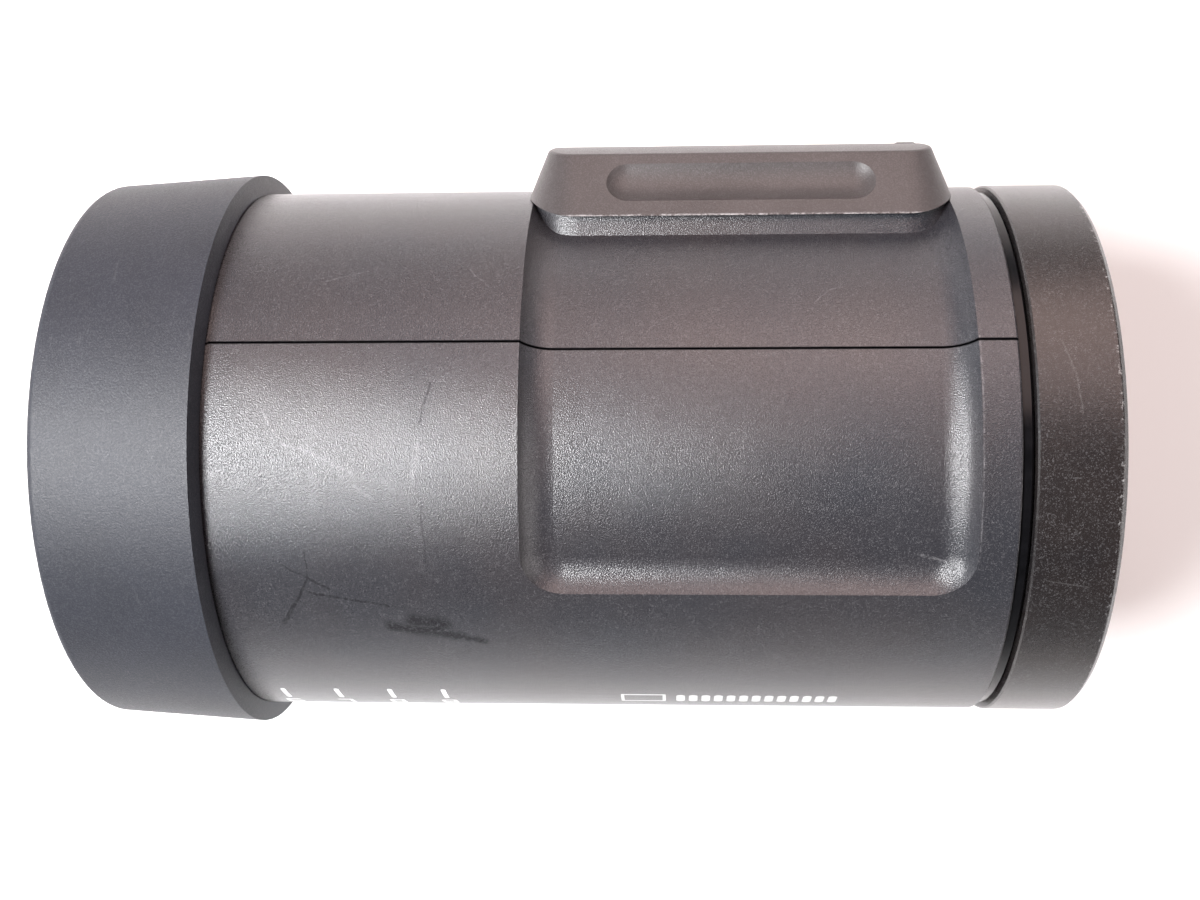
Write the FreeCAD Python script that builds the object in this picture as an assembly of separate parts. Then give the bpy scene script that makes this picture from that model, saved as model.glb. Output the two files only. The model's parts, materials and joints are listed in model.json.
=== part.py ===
"""Battery-powered monolight strobe: round two-shell housing, clip-in battery, push-on front cap.

Millimetres. The lamp shines along -X, the battery sits on the +Y side and +Z is the top.
The model is drawn about the lamp's axis, then lifted so that the origin is the mouth of the
1/4 inch stand socket in the underside. Angles round the axis run from +Z towards +Y.
"""

import math
import os

import FreeCAD
import Part

V = FreeCAD.Vector
X_AXIS, Y_AXIS, Z_AXIS = V(1, 0, 0), V(0, 1, 0), V(0, 0, 1)

# ---- driving dimensions -------------------------------------------------------------------
BODY_LENGTH = 175.0            # bezel face to the end of the rear ring
BODY_R = 50.0                  # collar that light-shaping tools slide over
REAR_X = 60.5                  # end of the rear ring, measured from the stand socket
FRONT_X = REAR_X - BODY_LENGTH
WALL = 2.8                     # moulded shell wall
GAP = 0.3                      # air between parts that move against each other

SPIGOT_R = BODY_R - 0.4        # reduced front end that the cap slides over
COLLAR_X = -89.6               # step between that spigot and the collar
SHELL_FRONT, SHELL_REAR = FRONT_X + 4.0, 43.8
SHELL_BORE = BODY_R - WALL
SEAM_ANGLE = 21.1              # the two shells meet on radial planes this far past top and bottom
SEAM_GAP = 0.35

CAP_FRONT, CAP_REAR = -118.6, -90.8
CAP_FRONT_R, CAP_REAR_R = 51.8, 53.6
CAP_BORE = SPIGOT_R + 0.35

SCOOP_HALF = 37.4              # finger scoops beside the battery: half length at the surface
SCOOP_DEPTH = 3.2
SCOOP_END = -28.5              # their far edge, as an angle past the top
SCOOP_COVE = 6.3               # radius of the concave edge
SCOOP_CORNER = 8.0

BATTERY_TOP_R = 58.2           # the battery's outer face is an arc about the lamp's axis
BATTERY_END_DRAFT, BATTERY_SIDE_DRAFT = 21.5, 24.0
BATTERY_SEAT_Y = 41.2          # height where the long sides meet the body
BATTERY_HALF_L, BATTERY_HALF_W, BATTERY_CORNER = 40.4, 28.8, 11.0
BATTERY_END_WALL, BATTERY_SIDE_WALL = 2.2, 3.2
SEAT_HALF_L, SEAT_HALF_W, SEAT_CORNER = 37.6, 27.3, 8.5   # raised seat on the housing
GRIP_R, GRIP_HALF, GRIP_Y, GRIP_DEPTH = 6.0, 20.0, 47.7, 1.47
TUB_X0, TUB_X1 = -34.2, 30.4   # the part of the battery that goes into the bay
TUB_HALF_W, TUB_Y, TUB_CORNER = 21.8, 16.5, 2.8
BAY_CLEAR, BAY_FLOOR = 0.8, 13.0
BLADE_X = [-10.0, -4.0, 2.0, 8.0]
CELL_R, CELL_L, CELL_X = 9.2, 50.0, -32.4
CELL_Y, CELL_Z = (27.3, 45.75), (-9.4, 9.4)
LATCH_X, LATCH_Y, LATCH_HALF_W = 30.3, 51.4, 8.5   # slider in the rear end of the case
LATCH_TRAVEL = 1.6
LATCH_LEG_X, LATCH_LEG_HALF_W, LATCH_NOSE_X = 32.5, 5.0, 34.9

PAD_Z = -47.2                  # face of the stand plate, below the lamp's axis
PAD_R = 19.0
SOCKET_R = 2.6                 # 1/4-20 thread at its minor diameter
BULKHEAD_FRONT, BULKHEAD_REAR = -76.4, 26.0
SPINE_Z = -39.5

TUBE_RING_R, TUBE_R, TUBE_X = 14.5, 2.7, -88.5
TUBE_ENDS = (155, 205)         # angles where the flash tube's legs turn back
LAMP_SCREW_R = 23.6
CAPACITOR_R, CAPACITOR_X0, CAPACITOR_X1 = 15.0, -50.0, 21.5
CAPACITOR_Y, CAPACITOR_Z = -23.0, 15.7
PANEL_X = 57.3                 # outer face of the control panel
DIAL_Z, DIAL_R = -19.0, 14.5
FAN_Y, FAN_HALF = -10.0, 20.0
BUTTONS = {"test_button": (28.0, -19.0, 6.5), "model_button": (-28.0, -10.5, 4.6),
           "settings_button": (-28.0, -27.5, 4.6)}     # y, z, radius
GAUGE_X = -24.6                # battery gauge: its button, then four lights
GAUGE_LIGHTS = [GAUGE_X + 8.0, GAUGE_X + 13.0, GAUGE_X + 18.0, GAUGE_X + 23.0]
PARTS = {}


# ---- helpers ------------------------------------------------------------------------------
def on_axis(x, r, angle):
    """The point at distance r from the lamp's axis, angle degrees from +Z towards +Y."""
    a = math.radians(angle)
    return V(x, r * math.sin(a), r * math.cos(a))


def block(x0, x1, y0, y1, z0, z1):
    return Part.makeBox(x1 - x0, y1 - y0, z1 - z0, V(x0, y0, z0))


def rod(x0, x1, r, y=0.0, z=0.0):
    return Part.makeCylinder(r, x1 - x0, V(x0, y, z), X_AXIS)


def rod_y(y0, y1, r, x=0.0, z=0.0):
    return Part.makeCylinder(r, y1 - y0, V(x, y0, z), Y_AXIS)


def rod_z(z0, z1, r, x=0.0, y=0.0):
    return Part.makeCylinder(r, z1 - z0, V(x, y, z0), Z_AXIS)


def tube(x0, x1, r_out, r_in):
    return rod(x0, x1, r_out).cut(rod(x0 - 1, x1 + 1, r_in))


def turned(profile):
    """A solid of revolution about the lamp's axis from (x, r) corners."""
    points = [V(x, 0, r) for x, r in profile]
    return Part.Face(Part.makePolygon(points + points[:1])).revolve(V(), X_AXIS, 360)


def sector(x0, x1, r0, r1, a0, a1):
    """Part of a ring between two angles."""
    corners = [V(x0, 0, r0), V(x1, 0, r0), V(x1, 0, r1), V(x0, 0, r1)]
    face = Part.Face(Part.makePolygon(corners + corners[:1]))
    face.rotate(V(), -X_AXIS, a0)
    return face.revolve(V(), -X_AXIS, a1 - a0)


def rounded_wire(x, half_l, half_w, r, y):
    """A rectangle with round corners in a plane of constant y."""
    corners = []
    for sx, sz, start in ((1, 1, 0), (-1, 1, 90), (-1, -1, 180), (1, -1, 270)):
        centre = V(x + sx * (half_l - r), y, sz * (half_w - r))
        ends = [centre + V(math.cos(math.radians(start + a)), 0, math.sin(math.radians(start + a))) * r
                for a in (0, 45, 90)]
        corners.append(ends)
    edges = []
    for i, ends in enumerate(corners):
        edges.append(Part.Arc(*ends).toShape())
        edges.append(Part.makeLine(ends[2], corners[(i + 1) % 4][0]))
    return Part.Wire(edges)


def rounded_prism(x, half_l, half_w, r, y0, y1):
    return Part.Face(rounded_wire(x, half_l, half_w, r, y0)).extrude(V(0, y1 - y0, 0))


def rounded_plate(x0, x1, y_half, z_half, r, y=0.0, z=0.0):
    """A flat rectangle with round corners, its thickness along X."""
    plate = block(x0, x1, y - y_half, y + y_half, z - z_half, z + z_half)
    corners = [e for e in plate.Edges if abs(e.Length - (x1 - x0)) < 1e-6 and
               abs(e.tangentAt(e.FirstParameter).x) > 0.99]
    return plate.makeFillet(r, corners)


def ring_of(count, radius, start=45.0):
    """Evenly spaced (y, z) places round the lamp's axis."""
    for i in range(count):
        p = on_axis(0, radius, start + 360.0 * i / count)
        yield p.y, p.z


def screw(base, along, shank_r, shank_l, head_r, head_h):
    """A machine screw with a hex recess: its head starts at base and its shank runs along."""
    body = Part.makeCylinder(head_r, head_h, base, along).fuse(
        Part.makeCylinder(shank_r, shank_l + head_h, base, along))
    corners = []
    side = FreeCAD.Rotation(X_AXIS, along)
    for i in range(6):
        a = math.radians(60 * i)
        corners.append(base + side.multVec(V(0, math.cos(a), math.sin(a))) * head_r * 0.5)
    recess = Part.Face(Part.makePolygon(corners + corners[:1])).extrude(along * head_h * 0.6)
    return body.cut(recess)


def group(solids):
    return Part.makeCompound(list(solids))


# ---- battery outline, shared by the battery and the housing -------------------------------
def draft(y, degrees):
    """How far a drafted face has moved inwards at height y."""
    return (y - BATTERY_SEAT_Y) * math.tan(math.radians(degrees))


def battery_prism(end_inset, side_inset, top_r):
    """The battery's drafted outline moved inwards, up to a round top about the lamp's axis."""
    wires = []
    for y in (20.0, 64.0):
        end = end_inset + draft(y, BATTERY_END_DRAFT)
        side = side_inset + draft(y, BATTERY_SIDE_DRAFT)
        wires.append(rounded_wire(0.0, BATTERY_HALF_L - end, BATTERY_HALF_W - side,
                                  max(BATTERY_CORNER - side, 1.0), y))
    return Part.makeLoft(wires, True, True).common(rod(-60, 60, top_r))


def battery_outside(top_r):
    outside = battery_prism(0.0, 0.0, top_r)
    rim = [e for e in outside.Edges
           if e.CenterOfMass.y > 40 and all(abs(math.hypot(v.Y, v.Z) - top_r) < 0.01 for v in e.Vertexes)]
    return outside.makeFillet(0.8, rim)


def platform():
    """The raised seat under the battery, whose sides the finger scoops lay bare."""
    return rounded_prism(0.0, SEAT_HALF_L, SEAT_HALF_W, SEAT_CORNER, 20.0, 60.0)


# ---- housing ------------------------------------------------------------------------------
def scoop():
    """The hollow beside the battery on the top; the underside has its mirror image."""
    floor = BODY_R - SCOOP_DEPTH
    over = SCOOP_COVE - math.sqrt(2 * SCOOP_COVE * SCOOP_DEPTH - SCOOP_DEPTH ** 2)
    half, end = SCOOP_HALF + over, SCOOP_END - math.degrees(over / BODY_R)
    tool = sector(-half, half, floor, BODY_R + 8, end, 72)
    radial = [e for e in tool.Edges if e.Curve.TypeId == "Part::GeomLine" and
              abs(e.tangentAt(e.FirstParameter).x) < 0.01 and e.CenterOfMass.y < 0]
    tool = tool.makeFillet(SCOOP_CORNER, radial)
    bottom = [e for e in tool.Edges
              if max(abs(math.hypot(v.Y, v.Z) - floor) for v in e.Vertexes) < 0.01 and
              math.degrees(math.atan2(e.CenterOfMass.y, e.CenterOfMass.z)) < 71]
    return tool.makeFillet(SCOOP_COVE, bottom).cut(platform())


def bay_opening():
    """Way in for the battery's tub, with a notch for its latch."""
    middle, half = (TUB_X0 + TUB_X1) / 2, (TUB_X1 - TUB_X0) / 2
    opening = rounded_prism(middle, half + BAY_CLEAR, TUB_HALF_W + BAY_CLEAR, TUB_CORNER + BAY_CLEAR, 30, 60)
    notch = LATCH_LEG_HALF_W + 2 * GAP
    return opening.fuse(block(TUB_X1, LATCH_NOSE_X + GAP, 30, 60, -notch, notch))


def housing():
    """Both shells as one ring, before the seam is cut."""
    body = turned([(SHELL_FRONT, SHELL_BORE), (SHELL_FRONT, SPIGOT_R), (COLLAR_X, SPIGOT_R),
                   (COLLAR_X, BODY_R), (SHELL_REAR - 0.3, BODY_R), (SHELL_REAR, BODY_R - 0.3),
                   (SHELL_REAR, SHELL_BORE)])
    inner = BODY_R - SCOOP_DEPTH - WALL + 0.2
    end = SCOOP_END - 4
    pad = sector(-SCOOP_HALF - 3.4, SCOOP_HALF + 3.4, inner, SHELL_BORE + 0.5, end, 180 - end)
    body = body.fuse(pad)
    upper = scoop()
    body = body.cut(upper).cut(upper.mirror(V(), Z_AXIS))
    body = body.cut(bay_opening())
    boss = rod_z(PAD_Z + 2.8, -41.0, PAD_R + 2.2).cut(rod_z(PAD_Z, -30, 15.6))
    body = body.cut(rod_z(-60, -35, 15.6)).cut(rod_z(-60, PAD_Z + 2.8, PAD_R + 2.2)).fuse(boss)
    for y, z in ring_of(4, BODY_R, 0.0):
        out = V(0, y, z).normalize()
        hole = Part.makeCylinder(1.6, 20, V(FRONT_X + 9.5, 0, 0) + out * 40, out)
        sink = Part.makeCylinder(2.9, 5, V(FRONT_X + 9.5, 0, 0) + out * (SPIGOT_R - 1.5), out)
        body = body.cut(hole).cut(sink)
    for x, y in stand_screw_places():
        body = body.cut(rod_z(-60, -40, 1.7, x, y))
    return body


def shells():
    ring = housing()
    half_gap = math.degrees(SEAM_GAP / 2 / BODY_R)
    a, b = SEAM_ANGLE, 180 - SEAM_ANGLE
    near = sector(-130, 60, 20, 70, a + half_gap, b - half_gap)
    far = sector(-130, 60, 20, 70, b + half_gap, 360 + a - half_gap)
    PARTS["battery_side_shell"] = ring.common(near).removeSplitter()
    PARTS["main_shell"] = ring.common(far).removeSplitter()


# ---- front: cap, bezel, glass, lamp -------------------------------------------------------
def front_cap():
    edge = 1.4
    cap = turned([(CAP_FRONT, 0), (CAP_FRONT, CAP_FRONT_R), (CAP_REAR, CAP_REAR_R),
                  (CAP_REAR + 0.8, CAP_BORE), (FRONT_X - 0.5, CAP_BORE), (FRONT_X - 0.5, 0)])
    rim = [e for e in cap.Edges if e.BoundBox.XLength < 0.01 and
           abs(e.BoundBox.YLength / 2 - CAP_FRONT_R) < 0.05]
    cap = cap.makeFillet(edge, rim)
    dish = turned([(CAP_FRONT - 1, 0), (CAP_FRONT - 1, 39.5), (CAP_FRONT + 0.5, 38), (CAP_FRONT + 0.5, 0)])
    PARTS["front_cap"] = cap.cut(dish)


def front_optics():
    f = FRONT_X
    bezel = turned([(f, 42.4), (f, SPIGOT_R - 0.6), (f + 0.6, SPIGOT_R), (f + 3.8, SPIGOT_R),
                    (f + 3.8, SHELL_BORE - 0.1), (f + 14, SHELL_BORE - 0.1), (f + 14, 44.5),
                    (f + 1.1, 44.5), (f + 1.1, 42.4)])
    fixings = []
    for y, z in ring_of(4, BODY_R, 0.0):
        out = V(0, y, z).normalize()
        centre = V(f + 9.5, 0, 0)
        bezel = bezel.cut(Part.makeCylinder(1.25, 20, centre + out * 40, out))
        fixings.append(screw(centre + out * (SPIGOT_R - 0.1), -out, 1.2, 3.2, 2.7, 1.3))
    PARTS["front_bezel"] = bezel
    PARTS["bezel_screws"] = group(fixings)
    PARTS["front_glass"] = turned([(f + 1.2, 0), (f + 1.2, 43.6), (f + 1.8, 44.2), (f + 4.2, 44.2),
                                   (f + 4.2, 0)])
    PARTS["glass_gasket"] = tube(f + 4.25, f + 5.75, 44.3, 41.6)


def reflector():
    rim, base = FRONT_X + 5.8, FRONT_X + 34.0
    inner = Part.Arc(V(rim, 0, 41.4), V(rim + 12.5, 0, 35.2), V(base, 0, 19.0)).toShape()
    outer = Part.Arc(V(base + 0.8, 0, 19.8), V(rim + 13.1, 0, 36.0), V(rim + 0.8, 0, 42.2)).toShape()
    corners = [V(base, 0, 19.0), V(base, 0, 18.0), V(base + 0.8, 0, 18.0), V(base + 0.8, 0, 19.8)]
    lip = [V(rim + 0.8, 0, 42.2), V(rim + 0.8, 0, 44.2), V(rim, 0, 44.2), V(rim, 0, 41.4)]
    wire = Part.Wire([inner, *Part.makePolygon(corners).Edges, outer, *Part.makePolygon(lip).Edges])
    PARTS["reflector"] = Part.Face(wire).revolve(V(), X_AXIS, 360)


def flash_tube():
    ring = Part.makeTorus(TUBE_RING_R, TUBE_R, V(TUBE_X, 0, 0), X_AXIS)
    gap = sector(TUBE_X - 5, TUBE_X + 5, 0.0, 30, *TUBE_ENDS)
    ring = ring.cut(gap)
    legs, caps = [], []
    for angle in TUBE_ENDS:
        p = on_axis(TUBE_X, TUBE_RING_R, angle)
        ring = ring.fuse(Part.makeSphere(TUBE_R, p)).fuse(rod(TUBE_X, -76.0, TUBE_R, p.y, p.z))
        legs.append(rod(-77.9, -70.5, 1.0, p.y, p.z))
        caps.append(rod(-75.95, -71.5, 2.9, p.y, p.z).cut(rod(-78, -70, 1.0, p.y, p.z)))
    PARTS["flash_tube"] = ring.cut(group(legs)).removeSplitter()
    PARTS["tube_electrodes"] = group(a.fuse(b) for a, b in zip(legs, caps))


def lamp_holder():
    base = turned([(-81.5, 8.6), (-81.5, 17.7), (-79.6, 17.7), (-79.6, 26.8), (-76.5, 26.8),
                   (-76.5, 8.6)])
    for angle in TUBE_ENDS:
        p = on_axis(0, TUBE_RING_R, angle)
        base = base.cut(rod(-83, -70, TUBE_R + 0.15, p.y, p.z))
    fixings = []
    for y, z in ring_of(4, LAMP_SCREW_R):
        base = base.cut(rod(-83, -70, 1.35, y, z)).cut(rod(-83, -78.9, 2.4, y, z))
        fixings.append(screw(V(-80.1, y, z), X_AXIS, 1.2, 5.0, 2.2, 1.2))
    PARTS["lamp_base"] = base
    PARTS["lamp_screws"] = group(fixings)
    PARTS["led_board"] = rod(-81.4, -80.0, 8.2)
    dome = Part.makeSphere(6.6, V(-81.5, 0, 0)).cut(block(-81.45, -60, -20, 20, -20, 20))
    PARTS["led_lens"] = dome
    sink = rod(-79.95, -66.9, 7.6).fuse(rod(-67.0, -64.5, 22.0))
    for i in range(-4, 5):
        half = math.sqrt(22.0 ** 2 - (4.6 * i + math.copysign(0.7, i)) ** 2) - 0.2
        sink = sink.fuse(block(-64.6, -53.0, -half, half, 4.6 * i - 0.7, 4.6 * i + 0.7))
    PARTS["led_heat_sink"] = sink


# ---- chassis ------------------------------------------------------------------------------
def stand_screw_places():
    return [(sx * 12.2, sy * 12.2) for sx in (-1, 1) for sy in (-1, 1)]


def chassis():
    front = rod(BULKHEAD_FRONT, BULKHEAD_FRONT + 2, 43.9).cut(rod(-80, -70, 19.5))
    for y, z in ring_of(4, LAMP_SCREW_R):
        front = front.cut(rod(-80, -70, 1.25, y, z))
    PARTS["front_bulkhead"] = front.cut(rod(-80, -70, 3.0, -31.0, 0))
    rear = rod(BULKHEAD_REAR, BULKHEAD_REAR + 2, 43.7).common(block(0, 40, -50, 11.6, -50, 50))
    rear = rear.cut(rod(20, 40, 18.0, FAN_Y, 0)).cut(rod(20, 40, 3.0, -36.0, 0))
    for y, z in fan_screw_places() + rear_post_places():
        rear = rear.cut(rod(20, 40, 1.25, y, z))
    PARTS["rear_bulkhead"] = rear
    spine = block(BULKHEAD_FRONT + 2, BULKHEAD_REAR, -18, 18, SPINE_Z, SPINE_Z + 2.5)
    for x, y in stand_screw_places():
        spine = spine.cut(rod_z(-60, -30, 1.25, x, y))
    PARTS["spine_plate"] = spine.cut(rod_z(-60, -30, 5.2))


def stand_mount():
    plate = rod_z(PAD_Z, PAD_Z + 2.75, PAD_R).fuse(rod_z(PAD_Z, SPINE_Z, 15.3))
    edge = [e for e in plate.Edges if abs(e.BoundBox.ZMax - PAD_Z) < 0.01 and
            abs(e.BoundBox.XLength / 2 - PAD_R) < 0.05]
    plate = plate.makeChamfer(0.5, edge).cut(rod_z(-60, -30, 5.0))
    fixings = []
    for x, y in stand_screw_places():
        plate = plate.cut(rod_z(-60, -30, 1.6, x, y)).cut(rod_z(PAD_Z, PAD_Z + 2.1, 2.9, x, y))
        fixings.append(screw(V(x, y, PAD_Z + 0.3), Z_AXIS, 1.2, 8.0, 2.7, 1.8))
    PARTS["stand_plate"] = plate
    PARTS["stand_screws"] = group(fixings)
    PARTS["stand_insert"] = rod_z(PAD_Z, SPINE_Z + 2.5, 4.95).cut(rod_z(PAD_Z - 1, PAD_Z + 8.5, SOCKET_R))


def fan_screw_places():
    return [(FAN_Y + sy * 16.0, sz * 16.0) for sy in (-1, 1) for sz in (-1, 1)]


def rear_post_places():
    return [(p.y, p.z) for p in (on_axis(0, 40.3, a) for a in (-10, -60, -120, -170))]


def fan():
    x0, x1 = BULKHEAD_REAR + 2.1, BULKHEAD_REAR + 12.1
    frame = rounded_plate(x0, x1, FAN_HALF, FAN_HALF, 3.0, FAN_Y)
    frame = frame.cut(rod(x0 - 1, x1 + 1, 18.4, FAN_Y))
    stator = rod(x1 - 1.6, x1, 8.0, FAN_Y)
    for angle in (0, 120, 240):
        strut = block(x1 - 1.6, x1, -1.0, 1.0, 0, 19)
        strut.rotate(V(), X_AXIS, angle)
        stator = stator.fuse(strut.translated(V(0, FAN_Y, 0)))
    frame = frame.fuse(stator.common(rod(x0, x1, 19.5, FAN_Y)))
    frame = frame.fuse(rod(x1 - 5, x1, 1.4, FAN_Y))
    fixings = []
    for y, z in fan_screw_places():
        frame = frame.cut(rod(x0 - 1, x1 + 1, 1.6, y, z))
        fixings.append(screw(V(x1 + 1.5, y, z), -X_AXIS, 1.2, 11.5, 2.4, 1.5))
    PARTS["fan_frame"] = frame
    PARTS["fan_screws"] = group(fixings)
    rotor = rod(x0 + 0.6, x1 - 2.2, 8.0, FAN_Y)
    for i in range(7):
        blade = block(-0.5, 0.5, -3.6, 3.6, 7.5, 17.6)
        blade.rotate(V(), Z_AXIS, 52)
        blade.rotate(V(), X_AXIS, 360.0 * i / 7)
        rotor = rotor.fuse(blade.translated(V(x0 + 4.2, FAN_Y, 0)))
    PARTS["fan_rotor"] = rotor.cut(rod(x1 - 6, x1, 1.5, FAN_Y))


# ---- electronics --------------------------------------------------------------------------
def electronics():
    cans = []
    board = block(CAPACITOR_X1 + 0.2, CAPACITOR_X1 + 1.8, -39, -7, -30, 30).common(rod(0, 40, 43.5))
    cradle = block(-36, 4, -33, -13, -15, 15)
    for z in (-CAPACITOR_Z, CAPACITOR_Z):
        can = rod(CAPACITOR_X0, CAPACITOR_X1, CAPACITOR_R, CAPACITOR_Y, z)
        groove = tube(CAPACITOR_X1 - 4, CAPACITOR_X1 - 3, 20, CAPACITOR_R - 0.7)
        can = can.cut(groove.translated(V(0, CAPACITOR_Y, z)))
        for y in (CAPACITOR_Y - 5, CAPACITOR_Y + 5):
            can = can.fuse(rod(CAPACITOR_X1 - 1, CAPACITOR_X1 + 2.4, 1.2, y, z))
            board = board.cut(rod(CAPACITOR_X1, CAPACITOR_X1 + 3, 1.25, y, z))
        cans.append(can)
        cradle = cradle.cut(rod(-40, 10, CAPACITOR_R + 0.1, CAPACITOR_Y, z))
    PARTS["flash_capacitors"] = group(cans)
    PARTS["capacitor_board"] = board
    PARTS["capacitor_cradle"] = cradle
    board = block(BULKHEAD_FRONT + 2.1, BULKHEAD_REAR - 0.1, 8.2, 9.8, SPINE_Z + 2.8, 38)
    PARTS["power_board"] = board.cut(block(-80, -51, 5, 12, -23, 23))
    core = block(-46, -22, -5.5, 8.1, 7, 29)
    for z in (10, 22):
        core = core.cut(block(-41, -27, -7, 9, z, z + 4))
    PARTS["charging_transformer"] = core
    winding = block(-40.8, -27.2, -4.5, 7.9, 10.2, 25.8)
    PARTS["transformer_winding"] = winding.cut(block(-42, -26, -6, 9, 14, 22))
    PARTS["power_transistors"] = group(block(x, x + 15, 3.2, 8.1, -36, -20) for x in (-44, -26, -8, 10))
    PARTS["trigger_coil"] = rod(-73.9, -58.0, 4.5, 0.0, 32.0)


# ---- rear ---------------------------------------------------------------------------------
def rear_housing():
    PARTS["vent_ring"] = turned([(42.0, 38.0), (42.0, SHELL_BORE - 0.15), (44.0, SHELL_BORE - 0.15),
                                 (44.0, 49.1), (45.4, 49.1), (45.75, 48.75), (45.75, 38.0)])
    ring = turned([(45.8, 38.0), (45.8, 45.8), (46.1, 45.8), (46.1, BODY_R - 0.1), (46.4, BODY_R + 0.2),
                   (REAR_X - 0.9, BODY_R + 0.2), (REAR_X, BODY_R - 0.7), (REAR_X, 47.6),
                   (REAR_X - 0.8, 46.8), (48.0, 46.8), (48.0, 38.0)])
    rims = [e for e in ring.Edges if e.BoundBox.XLength < 0.01 and e.BoundBox.XMin > 59.0 and
            e.BoundBox.YLength / 2 > 49.0]
    ring = ring.makeFillet(0.35, rims)
    for y, z in ring_of(4, 42.0, 45.0):
        ring = ring.fuse(rod(48.0, 50.4, 2.6, y, z))
    fixings, posts, plate = [], [], PARTS["vent_ring"]
    for y, z in rear_post_places():
        ring = ring.cut(rod(40, 50, 1.6, y, z))
        plate = plate.cut(rod(40, 50, 1.6, y, z))
        posts.append(rod(BULKHEAD_REAR + 2, 42.0, 2.4, y, z).cut(rod(30, 45, 1.25, y, z)))
        fixings.append(screw(V(49.6, y, z), -X_AXIS, 1.2, 12.0, 2.4, 1.6))
    PARTS["rear_ring"] = ring
    PARTS["vent_ring"] = plate
    PARTS["rear_posts"] = group(posts)
    PARTS["rear_screws"] = group(fixings)


def control_panel():
    board = rod(50.5, 52.1, 45.8)
    for y, z in rear_post_places():
        board = board.cut(rod(40, 55, 3.0, y, z))
    board = board.fuse(block(48.6, 50.6, 14, 30, 12, 24))
    PARTS["display_module"] = rounded_plate(52.2, 55.6, 23.5, 13.8, 1.0, 0.0, 16.0)
    panel = rod(PANEL_X - 1.6, PANEL_X, 46.6)
    panel = panel.cut(rounded_plate(50, 60, 22.0, 12.0, 3.0, 0.0, 16.0))
    panel = panel.cut(rod(50, 60, 3.6, 0.0, DIAL_Z))
    for name, (y, z, r) in BUTTONS.items():
        panel = panel.cut(rod(50, 60, r + GAP, y, z))
        button = rod(54.3, PANEL_X + 0.8, r, y, z)
        rim = [e for e in button.Edges if abs(e.BoundBox.XMin - PANEL_X - 0.8) < 0.01 and
               e.BoundBox.YLength > r]
        PARTS[name] = button.makeFillet(0.5, rim).fuse(rod(54.4, 55.3, r + 1.1, y, z))
        board = board.fuse(block(52.0, 53.1, y - 2.5, y + 2.5, z - 2.5, z + 2.5))
    PARTS["control_board"] = board
    PARTS["control_panel"] = panel
    PARTS["display_window"] = rounded_plate(PANEL_X - 1.6, PANEL_X + 0.05, 21.85, 11.85, 2.9, 0.0, 16.0)
    encoder = rounded_plate(52.15, 55.2, 6.2, 6.2, 0.8, 0.0, DIAL_Z)
    PARTS["dial_encoder"] = encoder.cut(rod(52.6, 60, 3.1, 0.0, DIAL_Z))
    PARTS["dial_plunger"] = rod(53.5, 54.2, 2.7, 0.0, DIAL_Z)
    PARTS["dial_shaft"] = rod(54.25, 61.4, 3.0, 0.0, DIAL_Z)
    knob = rod(PANEL_X + 0.9, 62.4, DIAL_R, 0.0, DIAL_Z)
    top = [e for e in knob.Edges if abs(e.BoundBox.XMin - 62.4) < 0.01 and e.BoundBox.YLength > 20]
    knob = knob.makeFillet(0.9, top)
    for i in range(48):
        a = 2 * math.pi * i / 48
        knob = knob.cut(rod(PANEL_X + 1.6, 61.2, 0.55, (DIAL_R + 0.15) * math.sin(a),
                            DIAL_Z + (DIAL_R + 0.15) * math.cos(a)))
    knob = knob.cut(rod(PANEL_X, 61.5, 3.02, 0.0, DIAL_Z))
    PARTS["dial_knob"] = knob.cut(rod(62.1, 63, 9.5, 0.0, DIAL_Z))


# ---- battery bay and battery --------------------------------------------------------------
def battery_bay():
    x0, x1, half = TUB_X0 - BAY_CLEAR, TUB_X1 + BAY_CLEAR, TUB_HALF_W + BAY_CLEAR
    box = block(x0 - 1.4, x1 + 1.4, BAY_FLOOR - 1.4, 50, -half - 1.4, half + 1.4)
    box = box.cut(block(x0, x1, BAY_FLOOR, 60, -half, half)).common(rod(-60, 60, 43.9))
    PARTS["battery_bay"] = box.cut(block(x1 - 1, x1 + 4, 34, 60, -6.0, 6.0))
    connector = block(-12, 13, BAY_FLOOR + 0.05, 15.8, -3.5, 3.5)
    for x in BLADE_X:
        connector = connector.fuse(block(x, x + 3.0, 15.7, 19.4, -0.4, 0.4))
    PARTS["bay_connector"] = connector


def battery_case():
    outer = battery_outside(BATTERY_TOP_R)
    for side in (-1, 1):
        outer = outer.cut(grip(side))
    case = outer.cut(rod(-60, 60, BODY_R + GAP)).cut(battery_hollow())
    case = case.common(block(-60, 60, 0, 80, -60, 60))
    case = case.fuse(block(22.0, 23.2, 51.5, 57.2, -1.1, 1.1))
    slot = LATCH_HALF_W + 0.5
    case = case.cut(block(LATCH_X - LATCH_TRAVEL - GAP, 50, LATCH_Y, 70, -slot, slot))
    case = case.cut(rod_y(50, 70, 3.2, GAUGE_X))
    for x in GAUGE_LIGHTS:
        case = case.cut(rod_y(50, 70, 1.05, x))
    PARTS["battery_case"] = case


def battery_hollow():
    return battery_prism(BATTERY_END_WALL, BATTERY_SIDE_WALL, BATTERY_TOP_R - BATTERY_END_WALL)


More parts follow.
